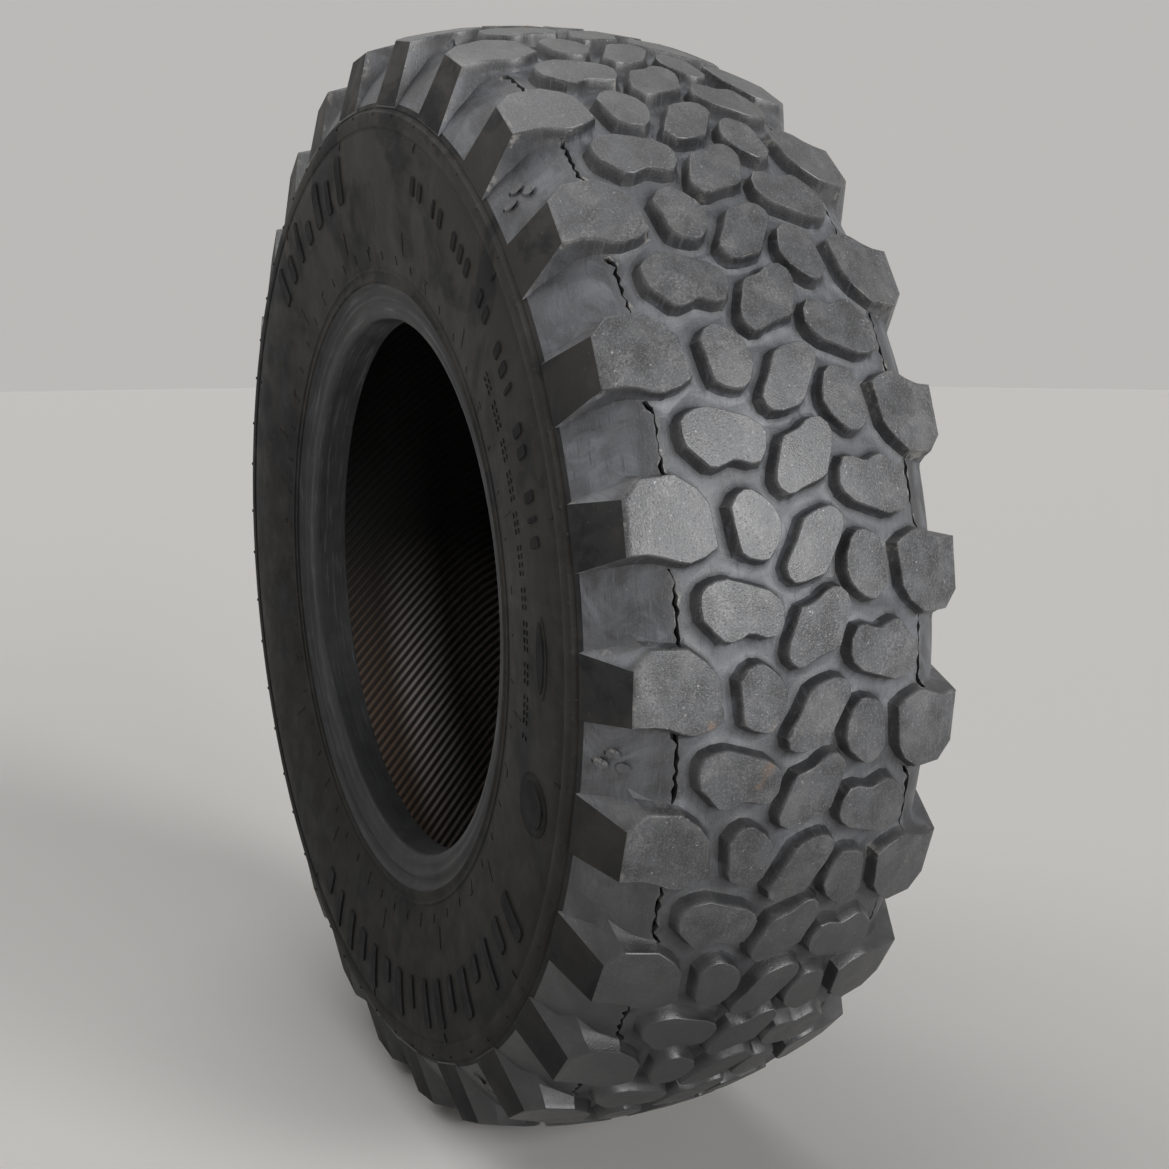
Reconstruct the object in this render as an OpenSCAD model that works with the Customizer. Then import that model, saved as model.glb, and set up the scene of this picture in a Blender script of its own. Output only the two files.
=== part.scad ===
// Old worn all-terrain truck tyre, standing on its tread without a wheel.
// One vulcanised piece: casing with two beads, 26 repeats of tread blocks, and a small flat where it stands.
// Millimetres. The axle line is Y, Z is up, and the origin is the wheel centre.

/* [Overall] */
// Outside diameter at the middle of the tread
outside_d = 1040; // [1030:1:1050]
// Diameter of the bead seats, which is the wheel rim's size
seat_d = 508; // [507:0.5:509]
// Repeats of the tread pattern around the tyre
pitches = 26; // [20:1:32]
// Height of the axle above the ground, less than the radius because the soft tread sits flat
axle_h = 513; // [510:0.5:518]

/* [Tread] */
// Width across the tops of the shoulder lugs
tread_w = 280; // [270:1:290]
// Depth of the worn grooves
groove = 13; // [8:0.5:18]
// Drop of the worn crown at the lug edges
crown_drop = 21; // [15:1:28]
// Turn of the first shoulder lug's upper edge from straight up, in degrees
first_lug = 19.32; // [0:0.01:360]

/* [Casing] */
// Half width at the widest part of the sidewall
half_w = 160.5; // [155:0.5:165]
// Thickness of the casing under the tread grooves
belt = 22; // [15:1:30]
// Thickness of the sidewall at its widest part
wall = 14; // [10:1:20]
// Distance of each bead toe from the middle
toe_y = 106.5; // [100:0.5:115]
// Distance of each bead heel from the middle
heel_y = 138; // [134:0.5:142]
// Radius of the moulded rib's outer groove, where the lugs end
rib_r = 439.4; // [430:0.5:450]
// Radius of the thin ring above the bead
ring_r = 298; // [290:0.5:305]

/* [Fineness] */
// Segments round the casing, used for display only
around = 208; // [52:52:416]

/* [Hidden] */
crown_r = outside_d / 2;
seat_r = seat_d / 2;
edge = tread_w / 2;
pitch_a = 360 / pitches;
// Radius at which the block outlines are true to size, and its degrees per millimetre
true_r = 510;
per_mm = 180 / PI / true_r;
// Each repeat reads the same after half a turn about this place in it
half_turn = 39.2;
rubber = [0.13, 0.135, 0.14];

// Height of the worn block tops at distance y from the middle
function top(y) = crown_r - crown_drop * pow(abs(y) / edge, 2.2);

function mirrored(p) = [for (i = [len(p) - 1 : -1 : 0]) [p[i][0], -p[i][1]]];

// Outer half of the casing, from the middle of the tread to the bead toe, as [radius, distance from the middle]
outer = concat(
    [for (y = [23.3, 48, 73.5, 104.6]) [top(y) - groove, y]],
    [
        // Dished shoulder between the lugs
        [489, 122], [478, 134.6], [464, 144.6], [rib_r + 2, 156.5],
        // Moulded rib and the thin ring below it
        [rib_r - 1, 156.9], [rib_r - 4, 159], [431, 159.8], [425, 159.2], [423, 158.2],
        // Sidewall
        [400, half_w], [380, half_w - 0.5], [350, 158.5], [322, 154.5],
        [ring_r + 2, 149], [ring_r, 149.8], [ring_r - 2, 148.6], [293, 148.6], [289.5, 149.6],
        // Stepped bead
        [285, 148], [281, 143.5], [277, 143], [273, 144], [269, 142.5], [262, 141],
        [seat_r + 3, heel_y + 1.5], [seat_r, heel_y], [seat_r, toe_y]
    ]);

// Inner half of the casing, from the middle to the bead toe
inner = [
    [top(0) - groove - belt, 20], [top(60) - groove - belt, 60], [474, 96], [458, 120], [436, 136],
    [405, half_w - wall], [370, half_w - wall], [340, 143], [310, 134], [285, 122], [264, 109.5], [seat_r + 3, toe_y]
];

module casing()
    rotate([90, 0, 0]) rotate_extrude($fn = around)
        polygon(concat(outer, [for (i = [len(inner) - 1 : -1 : 0]) inner[i]], [for (p = inner) [p[0], -p[1]]], mirrored(outer)));

// Space that the blocks may fill: worn crown above, lug sides outside, casing below
module block_band() {
    half = [[top(edge), edge], [rib_r + 3, 157.2], [rib_r - 3, 157.2], [rib_r - 3, 153], [445, 148], [462, 136], [478, 118], [489, 90], [494, 40]];
    tops = [for (y = [-130.3, -105.7, -73.3, -36.3, 0, 36.3, 73.3, 105.7, 130.3]) [top(y), y]];
    rotate([90, 0, 0]) rotate_extrude($fn = around)
        polygon(concat(tops, half, mirrored(half)));
}

// A block standing at distance s round the tread, with its outline in [distance round, distance across]
module block(s, outline)
    rotate([0, (s - half_turn) * per_mm, 0]) intersection() {
        translate([0, 0, 430]) linear_extrude(crown_r - 428)
            polygon([for (p = outline) [p[0] - s, p[1]]]);
        block_band();
    }

// One of each block on the left half of a repeat
module left_blocks() {
    // Shoulder lug, which widens down the sidewall to the rib
    block(17, [[-8.5, -159], [-2.5, -139.2], [-18, -127], [-18, -102], [-6, -87], [35.5, -76], [45.5, -98], [38, -120], [36.5, -139.2], [42.5, -159]]);
    // Kidney-shaped block
    block(80, [[68, -92], [59, -80], [59, -67], [68, -40], [82, -28], [101, -34], [102, -44], [98.5, -55], [103.5, -71], [100, -80], [86, -91.5]]);
    // Small rounded block
    block(22, [[8, -64], [-3, -53], [-3, -44], [10, -30], [21, -26], [32, -27], [47, -38], [46, -51], [34, -61]]);
}

// The two S-shaped blocks along the middle
module middle_blocks() {
    block(38.8, [[20, -7], [13.5, 8], [12, 17], [20, 28], [28, 28], [46, 17], [60, 7], [65, -10], [64, -19], [54, -25], [36, -15]]);
    block(100.6, [[83, -15], [78, 1], [70, 14], [71, 21], [84, 28.5], [104, 21.5], [117, 10], [124, -10], [125.5, -18], [116, -27], [97, -20]]);
}

module blocks()
    for (k = [0 : pitches - 1])
        rotate([0, first_lug + k * pitch_a + half_turn * per_mm, 0]) {
            left_blocks();
            rotate([0, 0, 180]) left_blocks();
            middle_blocks();
        }

module tyre()
    color(rubber) difference() {
        union() {
            casing();
            blocks();
        }
        // Flat where the soft tread stands on the ground
        translate([-200, -200, -axle_h - 100]) cube([400, 400, 100]);
    }

tyre();
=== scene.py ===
"""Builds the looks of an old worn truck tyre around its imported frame: casing, tread, cracks, rubber."""
import math

import bmesh
import bpy
from bpy.props import FloatProperty, FloatVectorProperty, IntProperty, PointerProperty
from mathutils import Euler, Matrix, Vector, noise


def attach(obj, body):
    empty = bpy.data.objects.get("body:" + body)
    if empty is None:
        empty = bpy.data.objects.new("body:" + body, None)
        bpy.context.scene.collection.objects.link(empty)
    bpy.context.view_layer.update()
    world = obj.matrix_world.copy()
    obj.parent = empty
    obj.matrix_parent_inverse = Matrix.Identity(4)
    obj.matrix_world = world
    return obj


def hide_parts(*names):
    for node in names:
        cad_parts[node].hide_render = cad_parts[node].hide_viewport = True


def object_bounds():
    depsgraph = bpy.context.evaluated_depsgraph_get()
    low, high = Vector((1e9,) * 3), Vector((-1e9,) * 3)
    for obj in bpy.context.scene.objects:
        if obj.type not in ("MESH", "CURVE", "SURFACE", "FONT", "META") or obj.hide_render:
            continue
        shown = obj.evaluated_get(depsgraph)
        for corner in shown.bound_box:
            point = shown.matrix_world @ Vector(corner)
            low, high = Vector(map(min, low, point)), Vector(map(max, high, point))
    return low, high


bl_info = {
    "name": "Old worn tyre",
    "version": (1, 0, 0),
    "blender": (4, 5, 0),
    "location": "3D View > Sidebar > Old tyre",
    "description": "Models a worn off-road truck tyre with cracked shoulders and dusty rubber",
    "category": "Object",
}

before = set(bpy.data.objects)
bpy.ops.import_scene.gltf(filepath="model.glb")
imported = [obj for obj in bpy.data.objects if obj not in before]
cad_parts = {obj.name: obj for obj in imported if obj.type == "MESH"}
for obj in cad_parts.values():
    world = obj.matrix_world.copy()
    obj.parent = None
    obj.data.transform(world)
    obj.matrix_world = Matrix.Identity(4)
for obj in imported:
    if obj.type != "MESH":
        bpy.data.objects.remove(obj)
CAD_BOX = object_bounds()

MM = 0.001
AXLE = Vector((0, 1, 0))
STAND = -CAD_BOX[0].z
RADIUS = CAD_BOX[1].z
# The worn tops' fall in mm at this distance in mm from the middle, and the power of their curve
CROWN_DROP, CROWN_HALF, CROWN_CURVE = 21.0, 140.0, 2.2
TRUE_RADIUS = 510.0  # the block outlines are true to size at this radius, in mm
FIRST_LUG = 70.68  # angle of the first shoulder lug's upper edge above level, in degrees
HALF_TURN = 39.2  # the pattern reads the same after half a turn about this place, in mm

# Outlines of the blocks on the left half of a repeat, as (across, round) in mm at the worn tops
LUG = ((-140, -4), (-127, -18), (-102, -18), (-88, -7), (-80, 4), (-76, 35.5), (-85, 41.5), (-98, 45.5),
       (-106, 44), (-116, 39.5), (-126, 37), (-141, 37.5))
LUG_FOOT = {0: (-16.4, -7.7), 11: (-15.4, 8.2)}  # spread of the lug's outer corners at their foot
KIDNEY = ((-92, 68), (-88, 62.5), (-80, 59), (-71, 58), (-58, 62), (-40, 68), (-31, 75), (-28, 82),
          (-29.5, 93), (-35, 101), (-43, 102), (-52, 99), (-57, 98.5), (-63, 101), (-70, 103.5),
          (-76, 102.5), (-84, 94), (-91, 86), (-92.5, 77))
BEAN = ((-64, 8), (-58.5, 0), (-52, -3.5), (-46, -3), (-37, 3), (-30, 10), (-26, 20), (-27, 30),
        (-32, 41), (-38, 47), (-44, 47.5), (-53, 45), (-59, 41), (-61, 34), (-62.5, 22))
# The two slanted blocks along the middle of the tread
MIDDLE_A = ((-7, 20), (0, 16), (8, 13.5), (16, 12), (23, 14), (28, 20), (28, 27), (23, 36), (17, 46),
            (12, 55), (7, 60.5), (0, 62.5), (-10, 65), (-18, 65), (-23, 61), (-25, 54), (-22, 47),
            (-15, 36), (-10, 26))
MIDDLE_B = ((-14, 83), (-6, 80.5), (1, 78), (7, 73), (13, 70), (20, 70), (26, 75), (28.5, 83), (26, 93),
            (22, 103), (19, 112.5), (12, 116), (3, 118.5), (-5, 121.5), (-12, 125.5), (-18, 126),
            (-24, 121), (-26, 115), (-24, 106), (-20, 96), (-17, 88))

# Rings of a block from its root up, as (name, offset beyond the wall, height above the floor) in fillets;
# the last three follow the worn tops
BLOCK_LEVELS = (("root", 1.05, -0.9), ("skirt", 1.05, -0.06), ("fillet", 0.30, 0.30), ("foot", 0.0, 1.0),
                ("brim", None, None), ("edge", None, None), ("cap", None, None))
# Growth of the upper rings beyond the outline, in edge roundings
TOP_GROWTH = {"brim": 0.0, "edge": -1.0, "cap": -2.6}
# Share of the foot's spread at each ring of a lug's outer corner, and its radius in mm where the rib sets it
LUG_SPREAD = {"root": (0.55, 440.0), "skirt": (0.93, 441.7), "fillet": (1.0, 443.4), "foot": (0.94, 447.2),
              "brim": (0.02, None), "edge": (-0.05, None), "cap": (-0.28, None)}
WALL_SLOPE = 0.2  # how far a block's wall leans out for each mm of its height
# Extra fillets that a block has in the shoulder, where that starts and the width it grows over, in mm
SHOULDER_FILLET, SHOULDER_FROM, SHOULDER_OVER = 1.3, 100, 25

# Half of the casing's section as (distance from the middle, radius) in mm, from the groove floor to the rib
FLOOR = ((0, 507), (25, 506.5), (50, 504.8), (75, 501.6), (95, 498.5), (103.9, 497.2), (107, 495.6),
         (113, 492), (122, 485.5), (132, 476.5), (141, 466), (149, 454), (153.6, 445.5), (155.6, 441.6))
# Rib, sidewall, bead steps and seat
SIDE = ((155.4, 440), (156.6, 438.6), (159, 437), (160, 433.5), (160.2, 428), (159.7, 424.8),
        (158.6, 423.8), (158.5, 422.6), (159.3, 420), (160.2, 411), (160.6, 400), (160.5, 388),
        (159.9, 374), (158.9, 360), (157.3, 344), (155, 327), (152.2, 311), (149.9, 301.6),
        (149.8, 300), (150.7, 299), (150.7, 297.4), (149.4, 296.3), (148.9, 293.6), (149.3, 291),
        (150, 289.6), (149.9, 288), (148.2, 286.6), (144.8, 285), (142.9, 282), (142.4, 278.6),
        (143.2, 276), (144.2, 274.2), (144.2, 272.2), (142.6, 270), (140.9, 267.6), (140.6, 265),
        (141.3, 263), (141.2, 261.2), (139.9, 258.4), (138.6, 255.8), (137, 254.5), (134, 254.1),
        (110, 254.1), (107.6, 254.4), (106.4, 255.6))
# Inner liner, from the bead toe to the middle
LINER = ((106.6, 258), (109, 262), (115, 270), (122, 279.5), (128.5, 291), (134.5, 306), (139.5, 323),
         (143.5, 344), (145.8, 366), (146.3, 388), (144.8, 409), (140.5, 429), (132, 447), (118, 461.5),
         (99, 472.5), (74, 479.5), (45, 483.6), (15, 485.4))

# Wear of the blocks: noise scales of broad wear and of chips, its mean, the chips' size in m
BROAD_WEAR, CHIP_WEAR, MEAN_WEAR, CHIP_SIZE = 14, 90, 0.35, 0.0009
STURDY = 0.006  # the lowest part of a block, up to this height in m, isn't worn

# Cracks along the foot of the shoulder hollows, in mm: place across, ends round, depth and reach up
CRACK_LINE, CRACK_ENDS, CRACK_DEPTH, CRACK_REACH = 104.3, (47, 103), 8, 6
CRACK_STEPS = 11
CRACK_NARROWING = 0.6  # share of its width that a crack keeps at its bottom

# Plain raised marks on a sidewall as (angle in degrees, radius, width round, height, rise) in mm
WIDTHS = (17, 15, 9, 17, 19, 12)
HEIGHTS = (46, 32, 46, 24, 46, 34, 46)
BIG_BARS = tuple((start - 5.5 * k, 365 + HEIGHTS[k % 7] / 2, WIDTHS[k % 6], HEIGHTS[k % 7], 1.6)
                 for start, count in ((-34, 16), (133, 7)) for k in range(count))
SMALL_BARS = tuple((70 - 2.55 * k, 389, 4 if k % 6 == 3 else 9, 17, 1.3)
                   for k in range(24) if k % 7 not in (2, 5))
DASHES = tuple((37 - 1.05 * k, radius, 4.2, 1.6, 0.9)
               for radius in (356, 349) for k in range(46) if k % 9 not in (3, 8))
# Round plates as (angle, radius, half width round, half height, rise); every other one stands on the last
PLATES = ((-17, 383, 27, 27, 1.0), (-17, 383, 21, 21, 2.2), (1, 386, 34, 11, 0.9), (1, 386, 29, 7, 1.8))
HOOK = ((-0.8, -6), (0.8, -6), (0.8, 5), (6, 6.5), (6, 8), (-0.8, 8))
# Thin mould lines as (radius, width, height, rise): beside the bead, above it, and below the rib
BEAD_TICK, LONG_TICK, RIB_TICK = (312, 1.4, 9, 0.6), (331, 1.2, 22, 0.5), (418.5, 1.6, 9, 0.9)
# Vent pins on the rib beside each lug, in mm: places round, radius, half size, rise
PIN_PLACES, PIN_RADIUS, PIN_SIZE, PIN_RISE = (-11.7, 45.7), 436, 1.7, 1.1
MARK_ROOT, MARK_TAPER, MARK_SLOPE = 1.5, 0.94, 0.6  # how deep a mark is rooted and how its walls lean in
# Groups of three raised dots: repeats that hold one, middle as (across, round), dots, half sizes, rise
DOT_REPEATS = (1, 5, 9, 13, 17, 21)
DOT_MIDDLE, DOTS, DOT_SIZE, DOT_RISE = (141, 74), ((-6.5, 0), (3.5, 5.5), (3.5, -5.5)), (4.4, 3.6), 3.2

# Limits of the skin's zones in mm: the liner's radii and width, bead, sidewall, the lugs' outer faces
INNER_RADII, INNER_ACROSS, BEAD_TO, SIDE_TO, LUG_FACE_FROM = (262, 490), 100, 286.5, 440.5, 139
TREAD_ZONE, SIDE_ZONE, BEAD_ZONE, LINER_ZONE = range(4)

# Colours of dirt and wear, and of the painted light and shade noted below
SCUFF, SPECK, CHIP = (0.25, 0.25, 0.255, 1), (0.52, 0.52, 0.52, 1), (0.33, 0.315, 0.29, 1)
# Painted shade on the tread: darker towards the floor, and on the block tops darker towards the top of the
# tyre
LOW_TREAD_SHADE, UPPER_TOP_SHADE = (0.0115, 0.012, 0.0135, 1), (0.014, 0.0135, 0.013, 1)
# Painted shade inside the deep cracks
CRACK_SHADE = (0.006, 0.006, 0.006, 1)
LUG_FACE_DARK, LUG_FACE_LIGHT = (0.022, 0.022, 0.023, 1), (0.062, 0.061, 0.062, 1)
SMUDGE, MARK_BLACK = (0.014, 0.0155, 0.019, 1), (0.005, 0.0055, 0.007, 1)
# Painted light and shade on the sidewall: darker on its back half and towards the floor, lighter towards its
# top
SIDE_BACK_SHADE, SIDE_TOP_LIGHT, SIDE_LOW_SHADE = (0.010, 0.010, 0.011, 1), (0.092, 0.087, 0.080, 1), (0.008, 0.008, 0.008, 1)
# Painted shade on the bead towards the floor
BEAD_LOW_SHADE = (0.010, 0.0105, 0.012, 1)
RUST_DARK, RUST_LIGHT = (0.018, 0.012, 0.009, 1), (0.115, 0.077, 0.054, 1)
# Pale grey on the liner's far ribs: dust, brightened as painted light
LIT_DUST_HOLLOW, LIT_DUST_RIB = (0.050, 0.046, 0.043, 1), (0.780, 0.720, 0.660, 1)

# Lamps as (name, direction towards the lamp, strength, width in degrees)
LAMPS = (("Front", (0.965, 0.10, 0.22), 1.1, 26), ("Window", (0.838, 0.390, 0.383), 1.1, 18),
         ("Ceiling", (-0.30, -0.25, 0.92), 1.25, 70))
LAMP_DISTANCE, FLOOR_RADIUS, FLOOR_ROUGHNESS = 4, 14, 0.85

CAMERA_PLACE, CAMERA_DOWN, CAMERA_TURN = (1.5106, -0.6642, 0.2719), 9.716, 61.90
CAMERA_SENSOR, CAMERA_LENS, CAMERA_SHIFT, CAMERA_REACH = 36.0, 51.74, (-0.0607, 0.0021), 100


def limited(value):
    """A value held between 0 and 1."""
    return min(max(value, 0), 1)


def crown(y):
    """Radius of the worn block tops at distance y from the middle, in mm."""
    return 1000 * RADIUS - CROWN_DROP * (abs(y) / CROWN_HALF) ** CROWN_CURVE


def groove_floor(y):
    """Radius of the casing under the blocks at distance y from the middle, in mm."""
    y = abs(y)
    for (y0, r0), (y1, r1) in zip(FLOOR, FLOOR[1:]):
        if y <= y1:
            return r0 + (r1 - r0) * (y - y0) / (y1 - y0)
    return FLOOR[-1][1]


def side_width(radius):
    """Distance of the outer sidewall from the middle at a radius, in mm."""
    for (y0, r0), (y1, r1) in zip(SIDE, SIDE[1:]):
        if r1 <= radius <= r0:
            return y0 + (y1 - y0) * (r0 - radius) / (r0 - r1)
    return SIDE[0][0]


def wrapped(across, round_, radius):
    """Place of a point given by its distance across and round the tread and its radius, all in mm."""
    angle = math.radians(FIRST_LUG) - round_ / TRUE_RADIUS
    return Vector((radius * math.cos(angle), across, radius * math.sin(angle))) * MM


def shoulder_place(y, s, lift, side):
    """Place beside the shoulder at distance y from the middle, s round and lift above the groove floor."""
    if side > 0:
        return wrapped(y, 2 * HALF_TURN - s, groove_floor(y) + lift)
    return wrapped(-y, s, groove_floor(y) + lift)


# ---------------------------------------------------------------- settings


class TyreSizes(bpy.types.PropertyGroup):
    """Sizes of the tyre that a user would change"""

    pitches: IntProperty(name="Repeats", description="Repeats of the tread pattern round the tyre",
                         default=26, min=20, max=32)
    around: IntProperty(name="Segments", description="Segments round the casing",
                        default=208, min=52, max=416)
    edge_round: FloatProperty(name="Edge rounding", description="Rounding of the worn block edges",
                              default=0.0007, unit="LENGTH", subtype="DISTANCE")
    fillet: FloatProperty(name="Block fillet", description="Fillet where a block meets the groove floor",
                          default=0.005, unit="LENGTH", subtype="DISTANCE")
    wear: FloatProperty(name="Uneven wear", description="How far worn block tops differ in height",
                        default=0.0009, unit="LENGTH", subtype="DISTANCE")


def colour_setting(name, description, default):
    """A colour with four numbers that a user would change."""
    return FloatVectorProperty(name=name, description=description, subtype="COLOR", size=4, default=default,
                               min=0, max=1)


class RubberColours(bpy.types.PropertyGroup):
    """Colours of the weathered rubber"""

    tops: colour_setting("Worn tops", "Scuffed grey of the block tops", (0.0675, 0.0710, 0.0795, 1))
    grooves: colour_setting("Grooves", "Dusty blue-grey of the groove floors and shoulders",
                            (0.118, 0.1235, 0.138, 1))
    # Painted shade: steep faces deep in the grooves take this darker wall colour
    walls: colour_setting("Block walls", "Painted shade on the sides of the blocks",
                          (0.019, 0.0197, 0.022, 1))
    side: colour_setting("Sidewall", "Brownish black of the sidewall", (0.037, 0.0345, 0.0305, 1))
    bead: colour_setting("Bead", "Cleaner grey-black rubber of the bead", (0.057, 0.059, 0.063, 1))
    liner: colour_setting("Liner", "Brown-black of the inner liner", (0.0070, 0.0060, 0.0052, 1))
    dust: colour_setting("Dust", "Pale dust and dried mud", (0.34, 0.335, 0.325, 1))
    smear: colour_setting("Smears", "Rusty orange smears on a few blocks", (0.30, 0.17, 0.09, 1))


class StageSettings(bpy.types.PropertyGroup):
    """Floor, backdrop and lamps"""

    floor: colour_setting("Floor", "Colour of the plain floor", (0.86, 0.84, 0.81, 1))
    backdrop: colour_setting("Backdrop", "Colour of the plain backdrop", (0.50, 0.49, 0.475, 1))
    light: FloatProperty(name="Light", description="Strength of the three broad soft lamps",
                         default=1.0, min=0)
    fill: FloatProperty(name="Fill", description="Strength of the even light from all round",
                        default=0.03, min=0)


# ---------------------------------------------------------------- mesh helpers


def new_piece(name, bm):
    """Puts a finished bmesh into an object at the origin."""
    mesh = bpy.data.meshes.new(name)
    bm.to_mesh(mesh)
    bm.free()
    piece = bpy.data.objects.new(name, mesh)
    bpy.context.scene.collection.objects.link(piece)
    return piece


def turn_round(bm, verts, step, sizes):
    """Turns corners about the axle by a number of the pattern's repeats."""
    turn = Matrix.Rotation(2 * math.pi / sizes.pitches * step, 3, "Y")
    bmesh.ops.rotate(bm, verts=verts, cent=(0, 0, 0), matrix=turn)


def casing_mesh(sizes):
    """Closed casing: its section is spun round the axle."""
    half = FLOOR + SIDE + LINER
    other = [(-y, r) for y, r in reversed(half) if y > 0]
    bm = bmesh.new()
    points = [bm.verts.new(Vector((0, y, r)) * MM) for y, r in list(half) + other]
    section = [bm.edges.new(pair) for pair in zip(points, points[1:] + points[:1])]
    bmesh.ops.spin(bm, geom=points + section, cent=(0, 0, 0), axis=AXLE, angle=2 * math.pi,
                   steps=sizes.around, use_merge=True)
    bmesh.ops.remove_doubles(bm, verts=bm.verts, dist=1e-6)
    bmesh.ops.recalc_face_normals(bm, faces=bm.faces)
    return bm


def outward(outline):
    """Outward direction at each corner of an outline, longer at sharp corners so that sides move evenly."""
    points = [Vector(p) for p in outline]
    area = sum(a.x * b.y - b.x * a.y for a, b in zip(points, points[1:] + points[:1]))
    turn = 1 if area > 0 else -1
    result = []
    for i, here in enumerate(points):
        before = (here - points[i - 1]).normalized()
        after = (points[(i + 1) % len(points)] - here).normalized()
        n0, n1 = Vector((before.y, -before.x)) * turn, Vector((after.y, -after.x)) * turn
        n = (n0 + n1).normalized()
        result.append(n / max(n.dot(n0), 0.7))
    return result


def ring_place(level, corner, way, spread, sizes, half_turned):
    """Place of one corner of a block's outline at one level, as (across, round, radius) in mm."""
    name, out, up = level
    y, s = corner
    rounding = sizes.edge_round / MM
    drop = rounding if name == "brim" else 0
    if spread:  # outer corner of a shoulder lug, which runs down to the rib
        share, radius = LUG_SPREAD[name]
        y2, s2 = y + spread[0] * share, s + spread[1] * share
        radius = radius or crown(y2) - drop
    elif name in TOP_GROWTH:
        growth = TOP_GROWTH[name] * rounding
        y2, s2 = y + way.x * growth, s + way.y * growth
        radius = crown(y2) - drop
    else:
        shoulder = limited((abs(y) - SHOULDER_FROM) / SHOULDER_OVER)
        fillet = sizes.fillet / MM * (1 + SHOULDER_FILLET * shoulder)
        height = crown(y) - groove_floor(y)
        offset = WALL_SLOPE * max(height - fillet, 0) + out * fillet
        y2, s2 = y + way.x * offset, s + way.y * offset
        radius = groove_floor(y2) + up * fillet
    if half_turned:
        y2, s2 = -y2, 2 * HALF_TURN - s2
    return y2, s2, radius


def add_block(bm, outline, sizes, spreads, half_turned):
    """Adds one closed block: its lowest outline as a face, extruded ring by ring to the worn top."""
    spreads = spreads or {}
    corner_of = bm.verts.layers.int.new("corner")
    ways = outward(outline)
    verts = []
    for i, corner in enumerate(outline):
        place = ring_place(BLOCK_LEVELS[0], corner, ways[i], spreads.get(i), sizes, half_turned)
        v = bm.verts.new(wrapped(*place))
        v[corner_of] = i
        verts.append(v)
    face = bm.faces.new(verts)
    for count, level in enumerate(BLOCK_LEVELS[1:]):
        below = face
        grown = bmesh.ops.extrude_face_region(bm, geom=[below])["geom"]
        face = next(g for g in grown if isinstance(g, bmesh.types.BMFace))
        if count:  # the first face stays as the block's closed root
            bmesh.ops.delete(bm, geom=[below], context="FACES_ONLY")
        for v in face.verts:
            i = v[corner_of]
            v.co = wrapped(*ring_place(level, outline[i], ways[i], spreads.get(i), sizes, half_turned))


def block_kinds():
    """Every kind of block in a repeat: name, outline, lug corners, half turned or not."""
    for name, outline, spreads in (("lug", LUG, LUG_FOOT), ("kidney", KIDNEY, None), ("bean", BEAN, None)):
        yield name + "_left", outline, spreads, False
        yield name + "_right", outline, spreads, True
    yield "middle_a", MIDDLE_A, None, False
    yield "middle_b", MIDDLE_B, None, False


def wear_blocks(bm, sizes, seed):
    """Wears the blocks unevenly and roughens their edges."""
    for v in bm.verts:
        rubbed = noise.noise(v.co * BROAD_WEAR + Vector((seed, 0, 0)))
        chipped = noise.noise_vector(v.co * CHIP_WEAR + Vector((0, seed, 0)))
        out = Vector((v.co.x, 0, v.co.z)).normalized()
        radius = Vector((v.co.x, v.co.z)).length
        if radius > MM * groove_floor(v.co.y / MM) + STURDY:
            chipped -= out * chipped.dot(out)
            v.co += out * (rubbed - MEAN_WEAR) * sizes.wear + chipped * CHIP_SIZE


def block_row(outline, spreads, half_turned, sizes, seed):
    """All copies round the tyre of one kind of block, each worn a little differently."""
    bm = bmesh.new()
    add_block(bm, outline, sizes, spreads, half_turned)
    first = list(bm.verts) + list(bm.edges) + list(bm.faces)
    for k in range(1, sizes.pitches):
        copy = bmesh.ops.duplicate(bm, geom=first)["geom"]
        turn_round(bm, [g for g in copy if isinstance(g, bmesh.types.BMVert)], k, sizes)
    bmesh.ops.recalc_face_normals(bm, faces=bm.faces)
    wear_blocks(bm, sizes, seed)
    return bm


def add_prism(bm, low, high):
    """Closed prism grown from one ring of points to another, with its faces outward; gives its corners."""
    base = bm.faces.new([bm.verts.new(p) for p in low])
    grown = bmesh.ops.extrude_face_region(bm, geom=[base])["geom"]
    top = next(g for g in grown if isinstance(g, bmesh.types.BMFace))
    for v, p in zip(top.verts, high):
        v.co = p
    faces = [base] + list(dict.fromkeys(f for e in top.edges for f in e.link_faces))
    bmesh.ops.recalc_face_normals(bm, faces=faces)
    top.normal_update()
    if top.normal.dot(top.calc_center_median() - base.calc_center_median()) < 0:
        bmesh.ops.reverse_faces(bm, faces=faces)
    return list(base.verts) + list(top.verts)


def crack_path(seed):
    """One jagged split, as (across, round, half width) in mm, with a hook at one of its ends."""
    start = CRACK_ENDS[0] + 9 * noise.noise(seed)
    end = CRACK_ENDS[1] + 9 * noise.noise(seed + Vector((0, 0, 5)))
    curl = noise.noise(seed * 2)
    path = []
    for i in range(CRACK_STEPS + 1):
        t = i / CRACK_STEPS
        jag = 2.0 * noise.noise(seed + Vector((t * 6, 1, 0))) + (0.9 if i % 2 else -0.5)
        hook = 9 * max(t - 0.86, 0) / 0.14 if curl > -0.1 else -5 * max(0.12 - t, 0) / 0.12
        gape = 1.2 + 3.0 * noise.noise(seed + Vector((t * 8, 7, 0))) + (1.0 if hook else 0)
        path.append((CRACK_LINE + jag - hook, start + (end - start) * t, max(gape, 0.3)))
    return path


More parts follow.
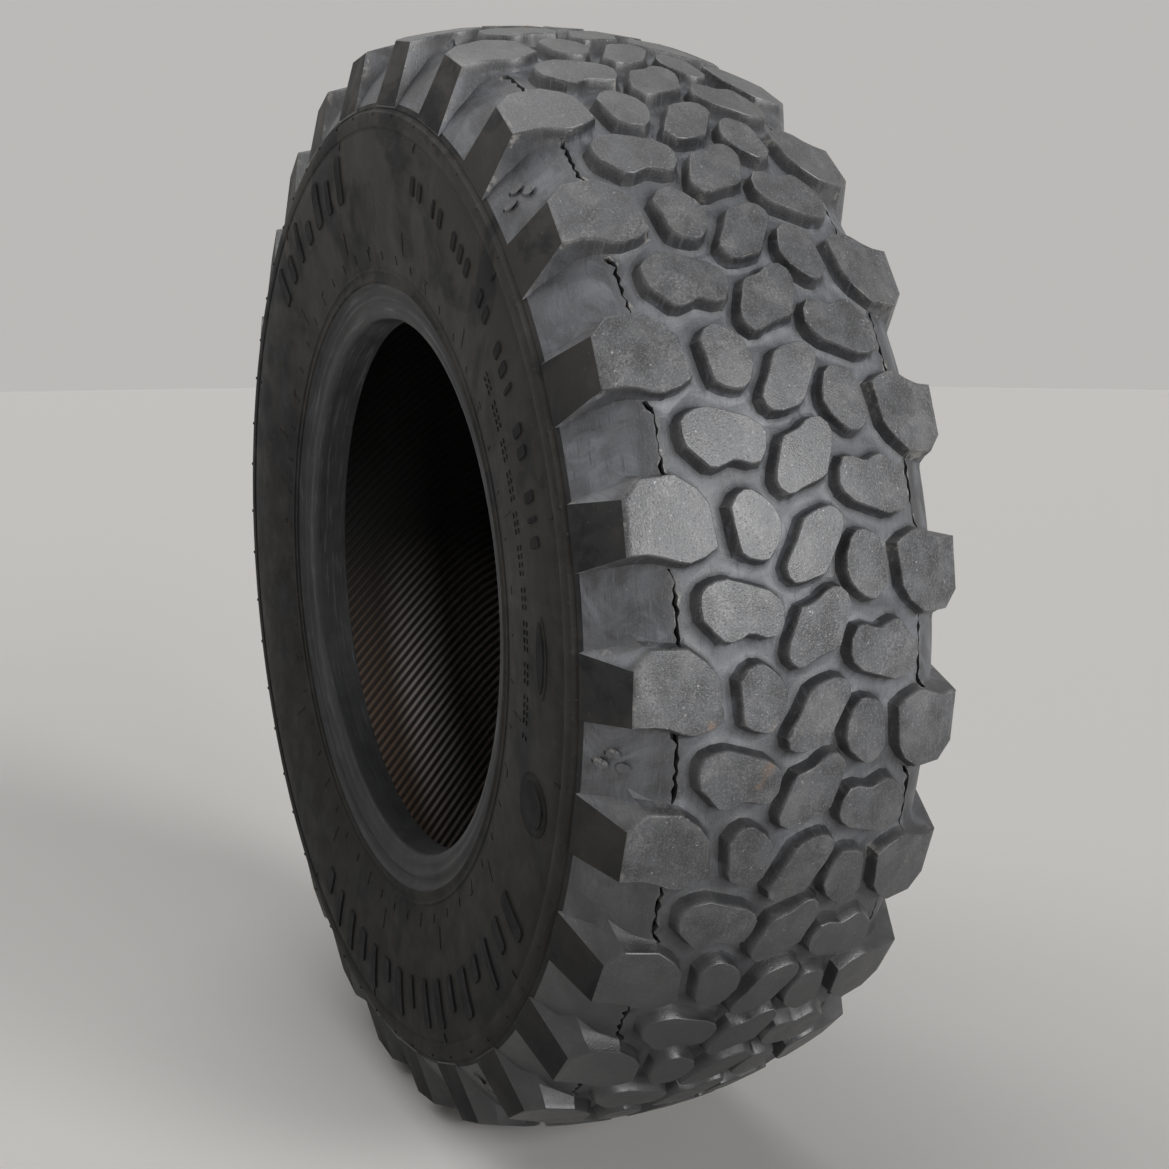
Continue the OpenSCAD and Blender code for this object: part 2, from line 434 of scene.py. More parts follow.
def crack_row(sizes, side):
    """Jagged splits in the groove floor between the shoulder lugs, as thin wedges to cut away."""
    bm = bmesh.new()
    for k in range(sizes.pitches):
        path = crack_path(Vector((k * 3.7, side * 11.3, 0.5)))
        ring = [(y + w, s) for y, s, w in path] + [(y - w, s) for y, s, w in reversed(path)]
        low = [shoulder_place(CRACK_LINE + (y - CRACK_LINE) * CRACK_NARROWING, s, -CRACK_DEPTH, side)
               for y, s in ring]
        high = [shoulder_place(y, s, CRACK_REACH, side) for y, s in ring]
        turn_round(bm, add_prism(bm, low, high), k, sizes)
    return bm


def add_mark(bm, angle, radius, outline, rise, side):
    """Adds a closed low shape to a sidewall from its outline as (round, outward) in mm about a middle."""
    def place(u, v, lift):
        turn = math.radians(angle) - u / (radius + v)
        across = side * (side_width(radius + v) + lift)
        return Vector(((radius + v) * math.cos(turn), across, (radius + v) * math.sin(turn))) * MM

    low = [place(u, v, -MARK_ROOT) for u, v in outline]
    high = [place(MARK_TAPER * u, v * (1 - MARK_SLOPE / max(abs(v), 4)), rise) for u, v in outline]
    add_prism(bm, low, high)


def bar_outline(width, height):
    """Bar with slightly rounded ends, with points along its length so that it follows the sidewall."""
    w, h = width / 2, height / 2
    c = min(w, h) * 0.35
    steps = max(2, round(height / 8))
    up = [(w, -h + c + (2 * h - 2 * c) * k / steps) for k in range(steps + 1)]
    down = [(-w, h - c - (2 * h - 2 * c) * k / steps) for k in range(steps + 1)]
    return up + [(w - c, h), (c - w, h)] + down + [(c - w, -h), (w - c, -h)]


def oval_outline(wide, high, count=24):
    """Oval from its two half sizes."""
    turns = [2 * math.pi * k / count for k in range(count)]
    return [(wide * math.cos(turn), high * math.sin(turn)) for turn in turns]


def add_ticks(bm, sizes, side):
    """Thin mould lines round a sidewall; some of those beside the bead are hooks."""
    def tick(kind, angle, outline=None):
        radius, width, height, rise = kind
        add_mark(bm, angle, radius, outline or bar_outline(width, height), rise, side)

    count = 2 * sizes.pitches
    for k in range(count):
        angle = 360 / count * (k + 0.3)
        tick(BEAD_TICK, angle, HOOK if k % 4 == 1 else None)
        if k % 4 == 2:
            tick(LONG_TICK, angle + 3)
            tick(RIB_TICK, angle)


def add_vent_pins(bm, sizes, side):
    """Small pins on the rib, two beside each shoulder lug."""
    for k in range(sizes.pitches):
        for round_ in PIN_PLACES:
            seen = 2 * HALF_TURN - round_ if side > 0 else round_
            turn = math.degrees(-seen / TRUE_RADIUS) + FIRST_LUG - k * 360 / sizes.pitches
            add_mark(bm, turn, PIN_RADIUS, oval_outline(PIN_SIZE, PIN_SIZE, 6), PIN_RISE, side)


def side_marks(sizes, side, layer):
    """Raised marks of one sidewall; the plates that stand on others are a layer of their own."""
    bm = bmesh.new()
    for angle, radius, width, height, rise in (BIG_BARS + SMALL_BARS + DASHES if layer == 0 else ()):
        add_mark(bm, angle, radius, bar_outline(width, height), rise, side)
    for angle, radius, wide, high, rise in PLATES[layer::2]:
        add_mark(bm, angle, radius, oval_outline(wide, high), rise, side)
    if layer == 0:
        add_ticks(bm, sizes, side)
        add_vent_pins(bm, sizes, side)
    return bm


def shoulder_marks(sizes):
    """Three small raised dots in some of the hollows between the near side's shoulder lugs."""
    bm = bmesh.new()
    for k in DOT_REPEATS:
        moved = []
        for u, v in DOTS:
            base = [(DOT_MIDDLE[0] + v + b, DOT_MIDDLE[1] + u + a) for a, b in oval_outline(*DOT_SIZE, 10)]
            moved += add_prism(bm, [shoulder_place(y, s, -3, -1) for y, s in base],
                               [shoulder_place(y, s, DOT_RISE, -1) for y, s in base])
        turn_round(bm, moved, k, sizes)
    return bm


def combine(body, others):
    """Joins closed pieces to the body, or cuts them from it, and keeps the result as a plain mesh."""
    for piece, how in others:
        step = body.modifiers.new(piece.name, "BOOLEAN")
        step.operation, step.solver, step.object = how, "MANIFOLD", piece
    shaped = bpy.data.meshes.new_from_object(body.evaluated_get(bpy.context.evaluated_depsgraph_get()))
    body.modifiers.clear()
    body.data = shaped
    for piece, _ in others:
        bpy.data.objects.remove(piece)


def drop_crumbs(bm):
    """Deletes loose crumbs that the cracks cut off; the tyre itself is one connected skin."""
    bm.verts.ensure_lookup_table()
    seen, crumbs = set(), []
    for first in bm.verts:
        if first in seen:
            continue
        seen.add(first)
        island, ahead = [first], [first]
        while ahead:
            for edge in ahead.pop().link_edges:
                for v in edge.verts:
                    if v not in seen:
                        seen.add(v)
                        island.append(v)
                        ahead.append(v)
        if len(island) < len(bm.verts) / 10:
            crumbs += island
    bmesh.ops.delete(bm, geom=crumbs, context="VERTS")


def store_steepness(bm, steep):
    """Stores how steep the skin is: along the turn, and also sideways between the shoulders."""
    for v in bm.verts:
        onward = Vector((-v.co.z, 0, v.co.x)).normalized()
        sideways = abs(v.normal.y) * limited((0.125 - abs(v.co.y)) / 0.012)
        v[steep] = limited((math.hypot(v.normal.dot(onward), sideways) - 0.30) / 0.35)


def store_edge_wear(bm, worn):
    """Marks sharp edges, stores how worn the tread's edges are, and 1 on the sidewall's raised marks."""
    for edge in bm.edges:
        if len(edge.link_faces) == 2:
            turn = edge.calc_face_angle_signed(0)
            edge.smooth = abs(turn) < math.radians(33)
            if turn > math.radians(20):
                for v in edge.verts:
                    v[worn] = min(1, max(v[worn], turn / math.radians(60)))
    for v in bm.verts:
        radius = math.hypot(v.co.x, v.co.z) / MM
        if 300 < radius < 422 and abs(v.co.y) / MM > side_width(radius) + 0.95:
            v[worn] = 1
        elif radius < 436:
            v[worn] = 0


def zone(face):
    """Which of the four rubbers a face shows."""
    middle = face.calc_center_median() / MM
    radius, across = math.hypot(middle.x, middle.z), abs(middle.y)
    faces_out = face.normal.y * math.copysign(1, middle.y)
    if INNER_RADII[0] < radius < INNER_RADII[1] and (faces_out < -0.02 or across < INNER_ACROSS):
        return LINER_ZONE
    if radius < BEAD_TO:
        return BEAD_ZONE
    if radius < SIDE_TO or (across > LUG_FACE_FROM and abs(face.normal.y) > 0.88):
        return SIDE_ZONE
    return TREAD_ZONE


def finish_surface(body):
    """Flat where the tyre stands, smooth faces with crisp edges, wear values and a rubber for each zone."""
    bm = bmesh.new()
    bm.from_mesh(body.data)
    bmesh.ops.dissolve_degenerate(bm, dist=2e-5, edges=bm.edges)
    drop_crumbs(bm)
    bmesh.ops.recalc_face_normals(bm, faces=bm.faces)
    for v in bm.verts:
        v.co.z = max(v.co.z, -STAND)
    worn = bm.verts.layers.float.new("edge_wear")
    steep = bm.verts.layers.float.new("steepness")
    bm.normal_update()
    store_steepness(bm, steep)
    store_edge_wear(bm, worn)
    for face in bm.faces:
        face.smooth = True
        face.material_index = zone(face)
    bm.to_mesh(body.data)
    bm.free()


# ---------------------------------------------------------------- material helpers


def tint(colour, share):
    """A colour made lighter or darker by a share."""
    return tuple(c * share for c in colour[:3]) + (1,)


class Nodes:
    """Short way to add and join nodes in one tree."""

    def __init__(self, tree):
        self.tree = tree

    def add(self, kind, inputs=None, **settings):
        """New node with its settings and inputs."""
        node = self.tree.nodes.new(kind)
        for key, value in settings.items():
            setattr(node, key, value)
        for key, value in (inputs or {}).items():
            self.put(node.inputs[key], value)
        return node

    def put(self, socket, value):
        """Joins another node's output to a socket, or sets its value."""
        if isinstance(value, bpy.types.NodeSocket):
            self.tree.links.new(value, socket)
        else:
            socket.default_value = value

    def math(self, operation, *values):
        """Result of one sum."""
        node = self.add("ShaderNodeMath", operation=operation)
        for socket, value in zip(node.inputs, values):
            self.put(socket, value)
        return node.outputs[0]

    def times(self, first, second):
        """Product of two values."""
        return self.math("MULTIPLY", first, second)

    def fade(self, value, low, high, to_low=0.0, to_high=1.0):
        """Smooth step of a value between two limits."""
        node = self.add("ShaderNodeMapRange", {"Value": value, "From Min": low, "From Max": high,
                                               "To Min": to_low, "To Max": to_high},
                        interpolation_type="SMOOTHSTEP")
        return node.outputs["Result"]

    def mix(self, share, first, second):
        """Blend of two colours."""
        return self.add("ShaderNodeMix", {0: share, 6: first, 7: second}, data_type="RGBA").outputs[2]

    def here(self):
        """Place on the piece."""
        return self.add("ShaderNodeTexCoord").outputs["Object"]

    def axes(self):
        """The three coordinates of the place on the piece."""
        return self.add("ShaderNodeSeparateXYZ", {"Vector": self.here()}).outputs

    def joined(self, **axes):
        """A place made of values for X, Y and Z."""
        return self.add("ShaderNodeCombineXYZ", axes).outputs[0]

    def stored(self, name):
        """A value stored at the piece's corners."""
        return self.add("ShaderNodeAttribute", attribute_name=name).outputs["Fac"]

    def noise(self, place, scale, detail=3.0, rough=0.55, warp=0.0):
        """Cloudy pattern about 0.5."""
        return self.add("ShaderNodeTexNoise", {"Vector": place, "Scale": scale, "Detail": detail,
                                               "Roughness": rough, "Distortion": warp}).outputs["Fac"]

    def bump(self, height, strength, distance=0.0004):
        """Normal of a finely raised surface."""
        node = self.add("ShaderNodeBump", {"Height": height, "Strength": strength, "Distance": distance})
        return node.outputs[0]


def node_group(name, inputs, outputs):
    """Empty shader node group with named number sockets: inputs as (name, default), outputs as names."""
    tree = bpy.data.node_groups.new(name, "ShaderNodeTree")
    for label, default in inputs:
        socket = tree.interface.new_socket(label, in_out="INPUT", socket_type="NodeSocketFloat")
        socket.default_value = default
    for label in outputs:
        tree.interface.new_socket(label, in_out="OUTPUT", socket_type="NodeSocketFloat")
    return tree, tree.nodes.new("NodeGroupInput").outputs, tree.nodes.new("NodeGroupOutput").inputs


def wheel_place_group():
    """Polar place on the tyre: depth below the worn tops, radius, place across, turn about the axle."""
    tree, _, result = node_group("Wheel place", (), ("Depth", "Radius", "Across", "Side", "Turn"))
    n = Nodes(tree)
    xyz = n.axes()
    radius = n.math("SQRT", n.math("ADD", n.times(xyz["X"], xyz["X"]), n.times(xyz["Z"], xyz["Z"])))
    across = n.math("ABSOLUTE", xyz["Y"])
    drop = n.times(n.math("POWER", n.math("DIVIDE", across, CROWN_HALF * MM), CROWN_CURVE), CROWN_DROP * MM)
    n.put(result["Depth"], n.math("SUBTRACT", n.math("SUBTRACT", RADIUS, drop), radius))
    n.put(result["Radius"], radius)
    n.put(result["Across"], across)
    n.put(result["Side"], xyz["Y"])
    n.put(result["Turn"], n.math("ARCTAN2", xyz["Z"], xyz["X"]))
    return tree


def dust_group():
    """Dust on rubber: masks of soft blotches, of fine dots and of sparse bright specks."""
    tree, source, result = node_group(
        "Dust", (("Blotch Scale", 28.0), ("Dot Scale", 650.0), ("Speck Scale", 330.0)),
        ("Blotches", "Dots", "Specks"))
    n = Nodes(tree)
    place = n.here()
    blotch = n.noise(place, source["Blotch Scale"], detail=5.0, rough=0.62, warp=0.4)
    dots = n.noise(place, source["Dot Scale"], detail=3.0, rough=0.7)
    specks = n.noise(place, source["Speck Scale"], detail=2.0, rough=0.5)
    n.put(result["Blotches"], n.fade(blotch, 0.46, 0.72))
    n.put(result["Dots"], n.fade(dots, 0.48, 0.66))
    n.put(result["Specks"], n.fade(specks, 0.69, 0.76))
    return tree


def grain_group():
    """Surface height of weathered rubber with its pores, and a soft mottle of its colour."""
    tree, source, result = node_group(
        "Rubber grain", (("Scale", 900.0), ("Pores", 0.5)), ("Height", "Mottle"))
    n = Nodes(tree)
    place = n.here()
    fine = n.noise(place, source["Scale"], detail=4.0, rough=0.65)
    mottle = n.noise(place, n.times(source["Scale"], 0.06), detail=5.0, rough=0.6)
    pits = n.add("ShaderNodeTexVoronoi", {"Vector": place, "Scale": n.times(source["Scale"], 0.35)})
    pore = n.fade(pits.outputs["Distance"], 0.05, 0.35)
    n.put(result["Height"], n.math("ADD", fine, n.times(pore, source["Pores"])))
    n.put(result["Mottle"], mottle)
    return tree


class Rubber:
    """One zone's material: its shader, and the place, grain and dust that its colours are made from."""

    def __init__(self, name, groups, roughness, gloss, grain_scale):
        self.material = bpy.data.materials.new(name)
        self.material.use_nodes = True
        tree = self.material.node_tree
        tree.nodes.clear()
        self.n = Nodes(tree)
        self.shader = self.n.add("ShaderNodeBsdfPrincipled").inputs
        self.shader["Roughness"].default_value = roughness
        self.shader["Specular IOR Level"].default_value = gloss
        out = self.n.add("ShaderNodeOutputMaterial")
        tree.links.new(tree.nodes["Principled BSDF"].outputs[0], out.inputs["Surface"])
        place, dust, grain = (self.n.add("ShaderNodeGroup", node_tree=group) for group in groups)
        grain.inputs["Scale"].default_value = grain_scale
        self.place, self.dust = place.outputs, dust.outputs
        self.grain, self.mottle = grain.outputs["Height"], grain.outputs["Mottle"]

    def finish(self, colour, normal, roughness=None):
        """Joins the finished colour, normal and, where it varies, roughness to the shader."""
        self.n.put(self.shader["Base Color"], colour)
        self.n.put(self.shader["Normal"], normal)
        if roughness is not None:
            self.n.put(self.shader["Roughness"], roughness)
        return self.material


def groove_colour(rubber, colours):
    """Block walls in painted shade, darker where steep and deep, above dusty groove floors, with swirled
    smears in grooves and hollows.
    """
    n, place = rubber.n, rubber.place
    depth, across = place["Depth"], place["Across"]
    # Painted shade: steep, deep faces take the darker wall colour
    level = n.math("SUBTRACT", 1.0, n.times(n.stored("steepness"), 0.85))
    wall = n.mix(n.times(n.fade(depth, 0.006, 0.0118), level), tuple(colours.walls), tuple(colours.grooves))
    wall = n.mix(n.fade(across, 0.122, 0.136, 0.0, 0.5), wall, tint(colours.grooves, 0.75))
    wall = n.mix(n.times(n.fade(rubber.mottle, 0.35, 0.75), 0.35), wall, tint(colours.grooves, 0.55))
    swirl = n.noise(n.here(), 17.0, detail=5.0, rough=0.6, warp=1.4)
    pale = n.times(n.fade(swirl, 0.50, 0.66), n.fade(depth, 0.006, 0.011, 0.0, 0.8))
    wall = n.mix(pale, wall, tint(colours.grooves, 1.7))
    dark = n.times(n.fade(swirl, 0.50, 0.36), n.fade(across, 0.104, 0.112, 0.45, 0.85))
    return n.mix(dark, wall, tint(colours.grooves, 0.3))


def scuffed(rubber, colour, top, colours):
    """Scratches along the turn, rough scuffed patches and a few rusty smears on the block tops."""
    n, here = rubber.n, rubber.n.here()
    along = n.joined(X=n.times(rubber.place["Turn"], 22.0), Y=n.times(rubber.place["Side"], 620.0))
    scratch = n.noise(along, 1.0, detail=5.0, rough=0.7, warp=0.4)
    colour = n.mix(n.fade(scratch, 0.54, 0.68, 0.0, 0.6), colour, tint(colours.tops, 2.0))
    colour = n.mix(n.fade(scratch, 0.46, 0.33, 0.0, 0.6), colour, tint(colours.tops, 0.45))
    patch = n.fade(n.noise(here, 19.0, detail=4.0, rough=0.6, warp=0.9), 0.53, 0.66)
    rough = n.times(patch, n.fade(n.noise(here, 420.0, detail=3.0, rough=0.6), 0.40, 0.64))
    colour = n.mix(n.times(rough, n.times(top, 0.65)), colour, SCUFF)
    smear = n.fade(n.noise(here, 11.0, detail=4.0, rough=0.65, warp=0.6), 0.66, 0.74)
    return n.mix(n.times(smear, n.times(top, 0.55)), colour, tuple(colours.smear))


def dusty(rubber, colour, top, colours):
    """Dust blotches, dots and specks, mostly on the block tops."""
    n = rubber.n
    share = n.math("ADD", n.times(top, 0.75), 0.25)
    pale = tuple(colours.dust)
    for mask, strength, shade in (("Blotches", 0.26, pale), ("Dots", 0.38, pale), ("Specks", 0.8, SPECK)):
        colour = n.mix(n.times(n.times(rubber.dust[mask], strength), share), colour, shade)
    return colour


def worn_edges(rubber, colour, colours):
    """Pale scuffs and chips along the block edges."""
    n = rubber.n
    worn = n.stored("edge_wear")
    scuff = n.times(n.fade(worn, 0.25, 0.9), n.times(n.fade(rubber.mottle, 0.40, 0.68), 0.30))
    colour = n.mix(scuff, colour, tint(colours.dust, 0.8))
    flakes = n.fade(n.noise(n.here(), 62.0, detail=4.0, rough=0.7), 0.55, 0.62)
    return n.mix(n.times(n.times(n.fade(worn, 0.5, 0.9), flakes), 0.8), colour, CHIP)


def tread_rubber(groups, colours):
    """Scuffed grey block tops, walls and cracks in painted shade, and dusty grooves; painted shade also
    darkens the tread towards the floor and its tops towards the top of the tyre.
    """
    rubber = Rubber("Tread rubber", groups, 0.5, 0.9, grain_scale=800)
    n, mottle = rubber.n, rubber.mottle
    depth, across = rubber.place["Depth"], rubber.place["Across"]
    top = n.fade(depth, 0.0035, 0.0012)
    shade = n.mix(n.fade(mottle, 0.33, 0.67), tint(colours.tops, 0.48), tint(colours.tops, 1.42))
    colour = n.mix(top, groove_colour(rubber, colours), shade)
    colour = scuffed(rubber, colour, top, colours)
    colour = dusty(rubber, colour, top, colours)
    colour = worn_edges(rubber, colour, colours)
    height = n.axes()["Z"]
    # Painted shade: the tread gets darker towards the floor
    colour = n.mix(n.fade(height, 0.05, -0.33, 0.0, 0.94), colour, LOW_TREAD_SHADE)
    # Painted shade: the block tops get darker towards the top of the tyre
    colour = n.mix(n.times(top, n.fade(height, 0.13, 0.26, 0.0, 0.22)), colour, UPPER_TOP_SHADE)
    # Painted shade: black deep inside the cracks
    crack = n.times(n.fade(depth, 0.0150, 0.0165), n.fade(across, 0.1085, 0.1075))
    colour = n.mix(crack, colour, CRACK_SHADE)
    roughness = n.math("ADD", n.fade(mottle, 0.25, 0.75, 0.33, 0.47), n.fade(depth, 0.002, 0.006, 0.0, 0.12))
    return rubber.finish(colour, n.bump(rubber.grain, 0.6), roughness)


def side_rubber(groups, colours):
    """Brownish black sidewall with streaks and smudges, darker raised marks and grey lug faces; painted
    shade on its back half and towards the floor, and painted light towards its top.
    """
    rubber = Rubber("Sidewall rubber", groups, 0.6, 0.13, grain_scale=600)
    n, place, mottle = rubber.n, rubber.place, rubber.mottle
    colour = n.mix(n.fade(mottle, 0.25, 0.75), tint(colours.side, 0.8), tint(colours.side, 1.25))
    streak = n.noise(n.joined(X=n.times(place["Radius"], 8.0), Y=n.times(place["Turn"], 40.0)), 1.0,
                     detail=4.0, rough=0.6)
    colour = n.mix(n.times(n.fade(streak, 0.45, 0.75), 0.3), colour, tint(colours.side, 1.8))
    lug_face = n.mix(mottle, LUG_FACE_DARK, LUG_FACE_LIGHT)
    colour = n.mix(n.fade(place["Radius"], 0.438, 0.444), colour, lug_face)
    xyz = n.axes()
    # Painted shade: the sidewall gets darker towards its back half
    colour = n.mix(n.fade(xyz["X"], 0.0, -0.40, 0.0, 0.6), colour, SIDE_BACK_SHADE)
    # Painted light: the sidewall gets lighter towards its top, a painted sheen
    colour = n.mix(n.fade(xyz["Z"], 0.08, 0.42, 0.0, 0.55), colour, SIDE_TOP_LIGHT)
    patch = n.noise(n.here(), 9.0, detail=5.0, rough=0.62, warp=0.9)
    colour = n.mix(n.fade(patch, 0.52, 0.41, 0.0, 0.75), colour, SMUDGE)
    colour = n.mix(n.fade(patch, 0.55, 0.68, 0.0, 0.6), colour, tint(colours.side, 1.9))
    colour = n.mix(n.times(rubber.dust["Blotches"], 0.05), colour, tuple(colours.dust))
    colour = n.mix(n.times(rubber.dust["Specks"], 0.2), colour, tuple(colours.dust))
    # Painted shade: the sidewall gets darker towards the floor
    colour = n.mix(n.fade(xyz["Z"], 0.12, -0.34, 0.0, 0.68), colour, SIDE_LOW_SHADE)
    raised = n.times(n.stored("edge_wear"), n.math("LESS_THAN", place["Radius"], 0.43))
    colour = n.mix(n.times(raised, 0.92), colour, MARK_BLACK)
    return rubber.finish(colour, n.bump(rubber.grain, 0.35), n.fade(mottle, 0.2, 0.8, 0.5, 0.72))


def bead_rubber(groups, colours):
    """Cleaner bead with streaks rubbed round it by a wheel, and painted shade towards the floor."""
    rubber = Rubber("Bead rubber", groups, 0.45, 0.3, grain_scale=500)
    n, place, mottle = rubber.n, rubber.place, rubber.mottle
    colour = n.mix(n.fade(mottle, 0.3, 0.7), tint(colours.bead, 0.75), tuple(colours.bead))
    rings = n.joined(X=n.times(place["Radius"], 300.0), Y=n.times(place["Turn"], 5.0),
                     Z=n.times(place["Side"], 300.0))
    rubbed = n.noise(rings, 1.0, detail=4.0, rough=0.6)
    colour = n.mix(n.fade(rubbed, 0.54, 0.72, 0.0, 0.5), colour, tint(colours.bead, 3.2))
    colour = n.mix(n.fade(rubbed, 0.46, 0.34, 0.0, 0.5), colour, tint(colours.bead, 0.35))
    colour = n.mix(n.times(rubber.dust["Blotches"], 0.06), colour, tuple(colours.dust))
    # Painted shade: the bead gets darker towards the floor
    colour = n.mix(n.fade(n.axes()["Z"], -0.12, -0.27, 0.0, 0.78), colour, BEAD_LOW_SHADE)
    return rubber.finish(colour, n.bump(rubber.grain, 0.3), n.fade(mottle, 0.2, 0.8, 0.42, 0.62))


def liner_rubber(groups, colours):
    """Dark inner liner with slanting ribs; towards the bottom, where water has stood, it is rusty on the
    near side and has pale dusty ribs on the far side, both also lightened as painted light.
    """
    rubber = Rubber("Liner rubber", groups, 0.7, 0.3, grain_scale=900)
    n, place = rubber.n, rubber.place
    slant = n.math("ADD", n.times(place["Turn"], 0.46), n.times(place["Side"], 0.9))
    ribs = n.math("PINGPONG", n.times(slant, 90.0), 0.5)
    raised = n.fade(ribs, 0.1, 0.4)
    colour = n.mix(raised, tint(colours.liner, 0.6), tint(colours.liner, 1.3))
    rusty = n.mix(raised, RUST_DARK, RUST_LIGHT)
    # Partly painted light: pale dusty ribs on the far side, brighter than dust alone
    lit_dusty_ribs = n.mix(n.fade(ribs, 0.16, 0.42), LIT_DUST_HOLLOW, LIT_DUST_RIB)
    stains_and_light = n.mix(n.fade(place["Side"], 0.0, 0.05), rusty, lit_dusty_ribs)
    # Partly stains and partly painted light: the liner's lower part is lighter
    colour = n.mix(n.fade(n.axes()["Z"], 0.0, -0.24, 0.0, 0.95), colour, stains_and_light)
    height = n.math("ADD", raised, n.times(rubber.grain, 0.15))
    return rubber.finish(colour, n.bump(height, 0.8, 0.0012))


# ---------------------------------------------------------------- operators


class OLDTYRE_OT_camera(bpy.types.Operator):
    """Place the camera level with the tyre's upper half, in front of its tread and left sidewall"""

    bl_idname = "old_tyre.camera"
    bl_label = "Camera"

    def execute(self, context):
        data = bpy.data.cameras.new("View")
        data.sensor_width, data.lens, data.clip_end = CAMERA_SENSOR, CAMERA_LENS, CAMERA_REACH
        data.shift_x, data.shift_y = CAMERA_SHIFT
        camera = bpy.data.objects.new("View", data)
        context.scene.collection.objects.link(camera)
        turn = Euler((math.radians(90 - CAMERA_DOWN), 0, math.radians(CAMERA_TURN)), "XYZ")
        camera.matrix_world = Matrix.Translation(CAMERA_PLACE) @ turn.to_matrix().to_4x4()
        context.scene.camera = camera
        return {"FINISHED"}


class OLDTYRE_OT_tyre(bpy.types.Operator):
    """Model the casing, tread blocks and cracks as one closed piece of weathered rubber"""

    bl_idname = "old_tyre.tyre"
    bl_label = "Tyre"

    def execute(self, context):
        sizes, colours = context.scene.old_tyre_sizes, context.scene.old_tyre_colours
        body = new_piece("tyre_rubber", casing_mesh(sizes))
        others = []
        for seed, (name, outline, spreads, half_turned) in enumerate(block_kinds()):
            row = block_row(outline, spreads, half_turned, sizes, seed * 7.3)
            others.append((new_piece(name, row), "UNION"))
        others.append((new_piece("marks", shoulder_marks(sizes)), "UNION"))
        for side in (-1, 1):
            for layer in (0, 1):
                others.append((new_piece("marks", side_marks(sizes, side, layer)), "UNION"))
            others.append((new_piece("crack", crack_row(sizes, side)), "DIFFERENCE"))
        combine(body, others)
        body.data.materials.clear()
        groups = (wheel_place_group(), dust_group(), grain_group())
        for make in (tread_rubber, side_rubber, bead_rubber, liner_rubber):
            body.data.materials.append(make(groups, colours))
        finish_surface(body)
        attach(body, "root")
        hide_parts("tyre")
        return {"FINISHED"}


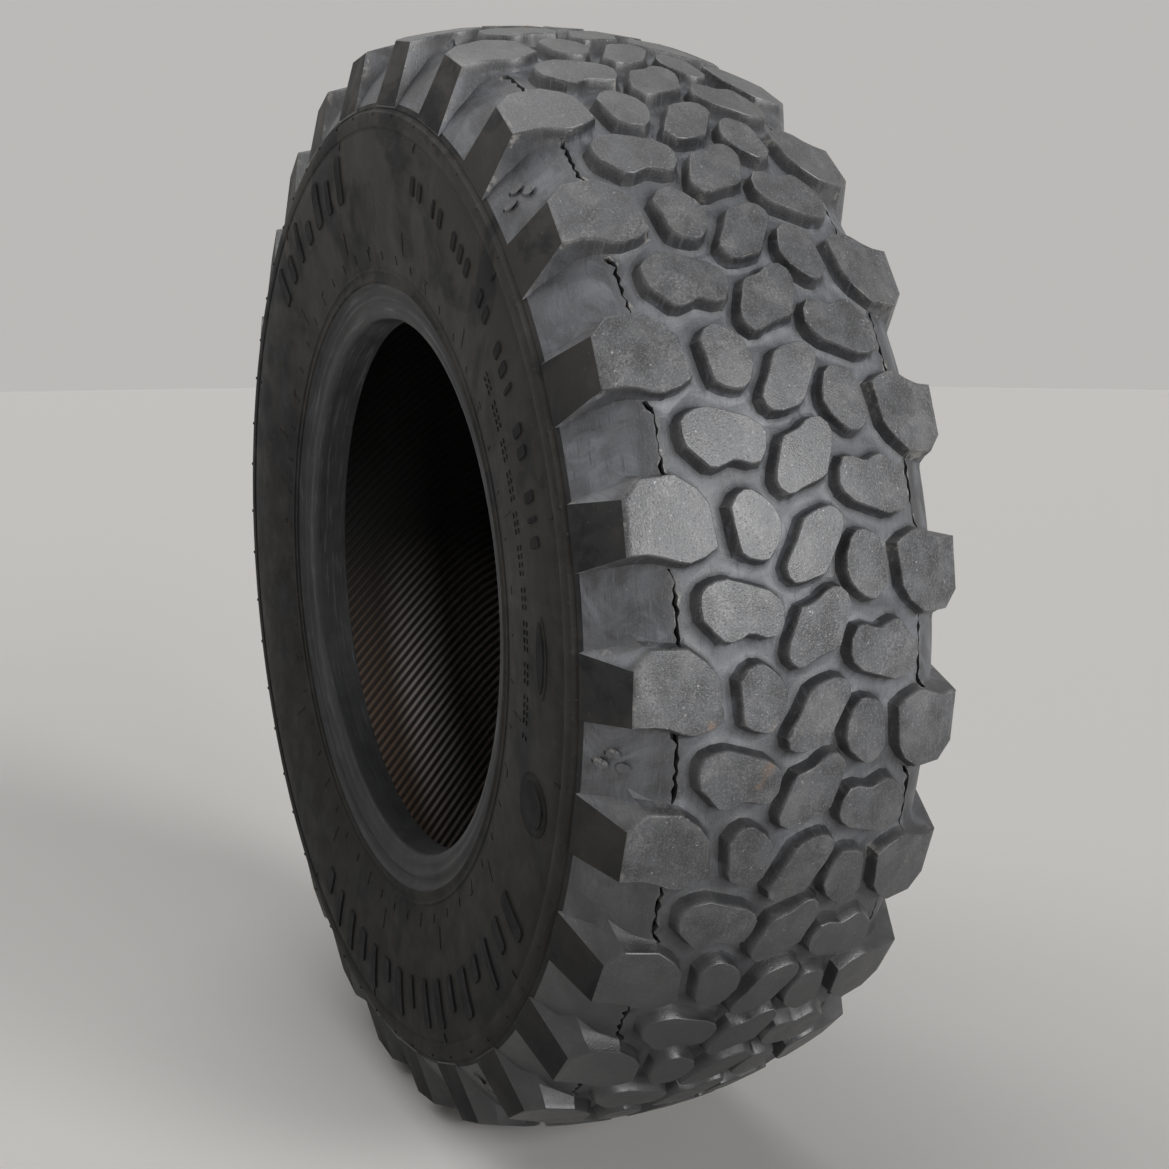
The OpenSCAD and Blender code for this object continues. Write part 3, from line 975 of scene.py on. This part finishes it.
class OLDTYRE_OT_stage(bpy.types.Operator):
    """Lay the plain pale floor and set the soft studio light"""

    bl_idname = "old_tyre.stage"
    bl_label = "Stage"

    def execute(self, context):
        stage = context.scene.old_tyre_stage
        self.lay_floor(tuple(stage.floor))
        for name, toward, share, width in LAMPS:
            self.hang_lamp(context, name, Vector(toward), stage.light * share, width)
        self.light_room(context, stage)
        context.scene.view_settings.view_transform = "Standard"
        return {"FINISHED"}

    def lay_floor(self, colour):
        """Plain floor where the tyre stands."""
        bm = bmesh.new()
        bmesh.ops.create_circle(bm, cap_ends=True, segments=64, radius=FLOOR_RADIUS)
        bmesh.ops.translate(bm, verts=bm.verts, vec=(0, 0, -STAND))
        floor = new_piece("floor", bm)
        material = bpy.data.materials.new("Pale floor")
        material.use_nodes = True
        shader = material.node_tree.nodes["Principled BSDF"].inputs
        shader["Base Color"].default_value = colour
        shader["Roughness"].default_value = FLOOR_ROUGHNESS
        floor.data.materials.append(material)

    def hang_lamp(self, context, name, toward, strength, width):
        """One broad soft lamp, far away in a direction."""
        lamp = bpy.data.lights.new(name, "SUN")
        lamp.energy, lamp.angle = strength, math.radians(width)
        holder = bpy.data.objects.new(name, lamp)
        context.scene.collection.objects.link(holder)
        turn = toward.to_track_quat("Z", "Y").to_matrix().to_4x4()
        holder.matrix_world = Matrix.Translation(LAMP_DISTANCE * toward) @ turn

    def light_room(self, context, stage):
        """Weak even light from all round, and a plain backdrop that only the view and reflections show."""
        world = bpy.data.worlds.new("Studio")
        context.scene.world = world
        world.use_nodes = True
        world.node_tree.nodes.clear()
        n = Nodes(world.node_tree)
        path = n.add("ShaderNodeLightPath").outputs
        mirrored = n.math("MAXIMUM", path["Is Glossy Ray"], path["Is Transmission Ray"])
        seen = n.math("MAXIMUM", path["Is Camera Ray"], mirrored)
        around = n.add("ShaderNodeBackground", {"Color": (1, 1, 1, 1), "Strength": stage.fill})
        backdrop = n.add("ShaderNodeBackground", {"Color": tuple(stage.backdrop), "Strength": 1.0})
        both = n.add("ShaderNodeMixShader", {0: seen, 1: around.outputs[0], 2: backdrop.outputs[0]})
        n.add("ShaderNodeOutputWorld", {"Surface": both.outputs[0]})


class OLDTYRE_PT_panel(bpy.types.Panel):
    """Sidebar panel with the tyre's settings and build steps"""

    bl_label = "Old tyre"
    bl_idname = "OLDTYRE_PT_panel"
    bl_space_type = "VIEW_3D"
    bl_region_type = "UI"
    bl_category = "Old tyre"

    def draw(self, context):
        layout, scene = self.layout, context.scene
        for settings in (scene.old_tyre_sizes, scene.old_tyre_colours, scene.old_tyre_stage):
            box = layout.box()
            for name in settings.__annotations__:
                box.prop(settings, name)
        for operator in OPERATORS:
            layout.operator(operator.bl_idname)


OPERATORS = (OLDTYRE_OT_camera, OLDTYRE_OT_tyre, OLDTYRE_OT_stage)
CLASSES = (TyreSizes, RubberColours, StageSettings) + OPERATORS + (OLDTYRE_PT_panel,)


def register():
    for cls in CLASSES:
        bpy.utils.register_class(cls)
    bpy.types.Scene.old_tyre_sizes = PointerProperty(type=TyreSizes)
    bpy.types.Scene.old_tyre_colours = PointerProperty(type=RubberColours)
    bpy.types.Scene.old_tyre_stage = PointerProperty(type=StageSettings)


def unregister():
    del bpy.types.Scene.old_tyre_stage
    del bpy.types.Scene.old_tyre_colours
    del bpy.types.Scene.old_tyre_sizes
    for cls in reversed(CLASSES):
        bpy.utils.unregister_class(cls)


def main():
    register()
    bpy.ops.old_tyre.camera()
    bpy.ops.old_tyre.tyre()
    bpy.ops.old_tyre.stage()


if __name__ == "__main__":
    main()
